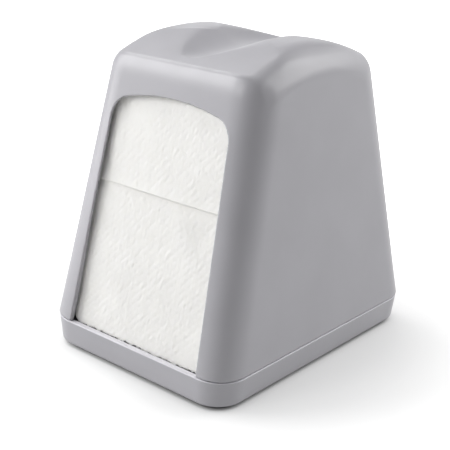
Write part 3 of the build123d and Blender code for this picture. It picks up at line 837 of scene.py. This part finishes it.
for side, base_end in (("front", "high"), ("rear", "low")):
    for hand in ("left", "right"):
        spring(f"{side}_{hand}_coil", f"{side}_spring_{hand}", f"{side}_pusher", base_end,
               **PUSHER_COIL)
for hand, base_end in (("left", "high"), ("right", "low")):
    spring(f"{hand}_latch_coil", f"{hand}_latch_spring", f"{hand}_latch", base_end, **LATCH_COIL)

# ------------------------------------------------------------------ camera (m, degrees)
CAMERA = SimpleNamespace(azimuth=39.975, elevation=19.869, roll=1.923, distance=0.4812,
                         target_z=0.0530, shift_right=-0.00539,
                         lens_mm=81.064, sensor_mm=36.0)


def build_camera():
    azimuth, elevation, roll = (
        math.radians(a) for a in (CAMERA.azimuth, CAMERA.elevation, CAMERA.roll))
    back = Vector((math.sin(azimuth) * math.cos(elevation),
                   -math.cos(azimuth) * math.cos(elevation), math.sin(elevation)))
    right = Vector((math.cos(azimuth), math.sin(azimuth), 0))
    up = back.cross(right)
    rolled_right = right * math.cos(roll) + up * math.sin(roll)
    rolled_up = up * math.cos(roll) - right * math.sin(roll)
    pose = Matrix((rolled_right, rolled_up, back)).transposed().to_4x4()
    target = Vector((0, 0, CAMERA.target_z)) + right * CAMERA.shift_right
    pose.translation = target + back * CAMERA.distance
    data = bpy.data.cameras.new("camera")
    data.sensor_width = CAMERA.sensor_mm
    data.lens = CAMERA.lens_mm
    data.clip_start = 0.01
    data.clip_end = 50
    camera = add_object("camera", data)
    camera.matrix_world = pose
    bpy.context.scene.camera = camera


build_camera()

# ------------------------------------------------------------------ floor
# A lit white sweep: bright to the eye, but lending the object only a little light from below.
FLOOR_RADIUS = 8.0                       # m
FLOOR_SEEN, FLOOR_GLOW_SEEN = 0.5, 0.497  # diffuse and near glow, as the camera sees them
FLOOR_BOUNCE, FLOOR_GLOW = 0.30, 0.531   # the same, as they light the object
CONTACT = 0.6                            # strength of the contact shadow


def floor_material():
    material = bpy.data.materials.new("floor_white")
    nodes = Nodes(material)

    def glowing(diffuse, glow):
        matt = nodes.add("BsdfDiffuse", {0: (diffuse, diffuse, diffuse, 1)})[0]
        light = nodes.add("Emission", {0: (1, 1, 1, 1), 1: glow})[0]
        return nodes.add("AddShader", {0: matt, 1: light})[0]

    position = nodes.add("NewGeometry", {})["Position"]
    x, y, _ = nodes.add("SeparateXYZ", {0: position})
    distance = nodes.add("VectorMath", {0: position}, operation="LENGTH")["Value"]
    wide = nodes.add("AmbientOcclusion", {"Distance": 0.07}, samples=12)["AO"]
    tight = nodes.add("AmbientOcclusion", {"Distance": 0.008}, samples=8)["AO"]

    # contact shadow, stronger towards +X
    shade = nodes.calc("MULTIPLY", nodes.calc("SUBTRACT", 1.0, wide),
                       nodes.smooth(x, source=(-0.05, 0.05), target=(0.15, 1.0)))
    shade = nodes.calc("SUBTRACT", 1.0, nodes.calc("MULTIPLY", shade, CONTACT))
    # painted shadow: the floor's glow fades to dark under the base and just beside it
    under = nodes.smooth(tight, source=(0.08, 0.55), target=(0.0, 1.0))
    # extra light in front, towards -X
    lit = nodes.calc("MULTIPLY",
                     nodes.smooth(y, source=(-0.090, -0.070), target=(0.20, 0.0)),
                     nodes.smooth(x, source=(-0.03, 0.05), target=(1.0, 0.0)))
    spread = nodes.smooth(distance, source=(0.06, 0.20), target=(FLOOR_GLOW_SEEN, 1.0))
    lit = nodes.calc("ADD", spread, lit)
    glow_seen = nodes.calc("MULTIPLY", nodes.calc("MULTIPLY", lit, shade), under)
    beside = nodes.smooth(wide, source=(0.30, 0.75), target=(0.25, 1.0))
    glow_given = nodes.calc("MULTIPLY", nodes.calc("MULTIPLY", under, beside), FLOOR_GLOW)
    surface = nodes.add("MixShader", {
        0: nodes.add("LightPath", {})["Is Camera Ray"],
        1: glowing(FLOOR_BOUNCE, glow_given),
        2: glowing(FLOOR_SEEN, glow_seen)})[0]
    nodes.add("OutputMaterial", {0: surface})
    return material


def build_floor():
    mesh = bpy.data.meshes.new("floor")
    disc = bmesh.new()
    bmesh.ops.create_circle(disc, cap_ends=True, segments=96, radius=FLOOR_RADIUS)
    disc.to_mesh(mesh)
    disc.free()
    floor = add_object("floor", mesh)
    mesh.materials.append(floor_material())


build_floor()


# ------------------------------------------------------------------ world and lights
def build_world():
    """White to the camera, and no light on the object."""
    world = bpy.data.worlds.new("world")
    bpy.context.scene.world = world
    nodes = Nodes(world)
    seen = nodes.add("LightPath", {})["Is Camera Ray"]
    nodes.add("OutputWorld", {0: nodes.add("Background", {0: (1, 1, 1, 1), 1: seen})[0]})


build_world()

LIGHT_CENTRE_Z = 0.07  # the soft boxes stand 1 m from this height on the Z axis
# azimuth from -Y towards +X and elevation in degrees, side in metres, power in watts
LIGHTS = (
    (120, 12, 0.6, 0.43), (150, 12, 0.6, 0.69), (180, 12, 0.6, 0.74), (210, 12, 0.6, 0.85),
    (240, 12, 0.6, 0.47), (300, 12, 0.6, 3.65), (105, 35, 0.6, 0.12), (135, 35, 0.6, 3.88),
    (165, 35, 0.6, 1.31), (255, 35, 0.6, 0.32), (240, 60, 0.6, 1.64), (0, 88, 0.6, 1.85),
    (255, 50, 0.25, 0.07), (270, 50, 0.25, 1.01), (300, 28, 0.25, 0.93), (318, 30, 0.25, 1.74),
    (345, 28, 0.25, 1.64), (155, 37, 0.25, 0.45), (140, 20, 0.25, 0.27), (310, 38, 0.25, 1.00),
    (290, 48, 0.25, 1.05),
)


def softbox(azimuth, elevation, side, power):
    name = f"softbox_{azimuth}_{elevation}"
    around, above = math.radians(azimuth), math.radians(elevation)
    place = (math.sin(around) * math.cos(above), -math.cos(around) * math.cos(above),
             LIGHT_CENTRE_Z + math.sin(above))
    data = bpy.data.lights.new(name, "AREA")
    data.shape = "RECTANGLE"
    data.size = data.size_y = side
    data.energy = power
    light = add_object(name, data)
    light.location = place
    aim = Vector((0, 0, LIGHT_CENTRE_Z)) - Vector(place)
    light.rotation_euler = aim.to_track_quat("-Z", "Y").to_euler()


for entry in LIGHTS:
    softbox(*entry)

view = bpy.context.scene.view_settings
view.view_transform = "Standard"
view.look = "None"
view.exposure = 0.0
view.gamma = 1.0
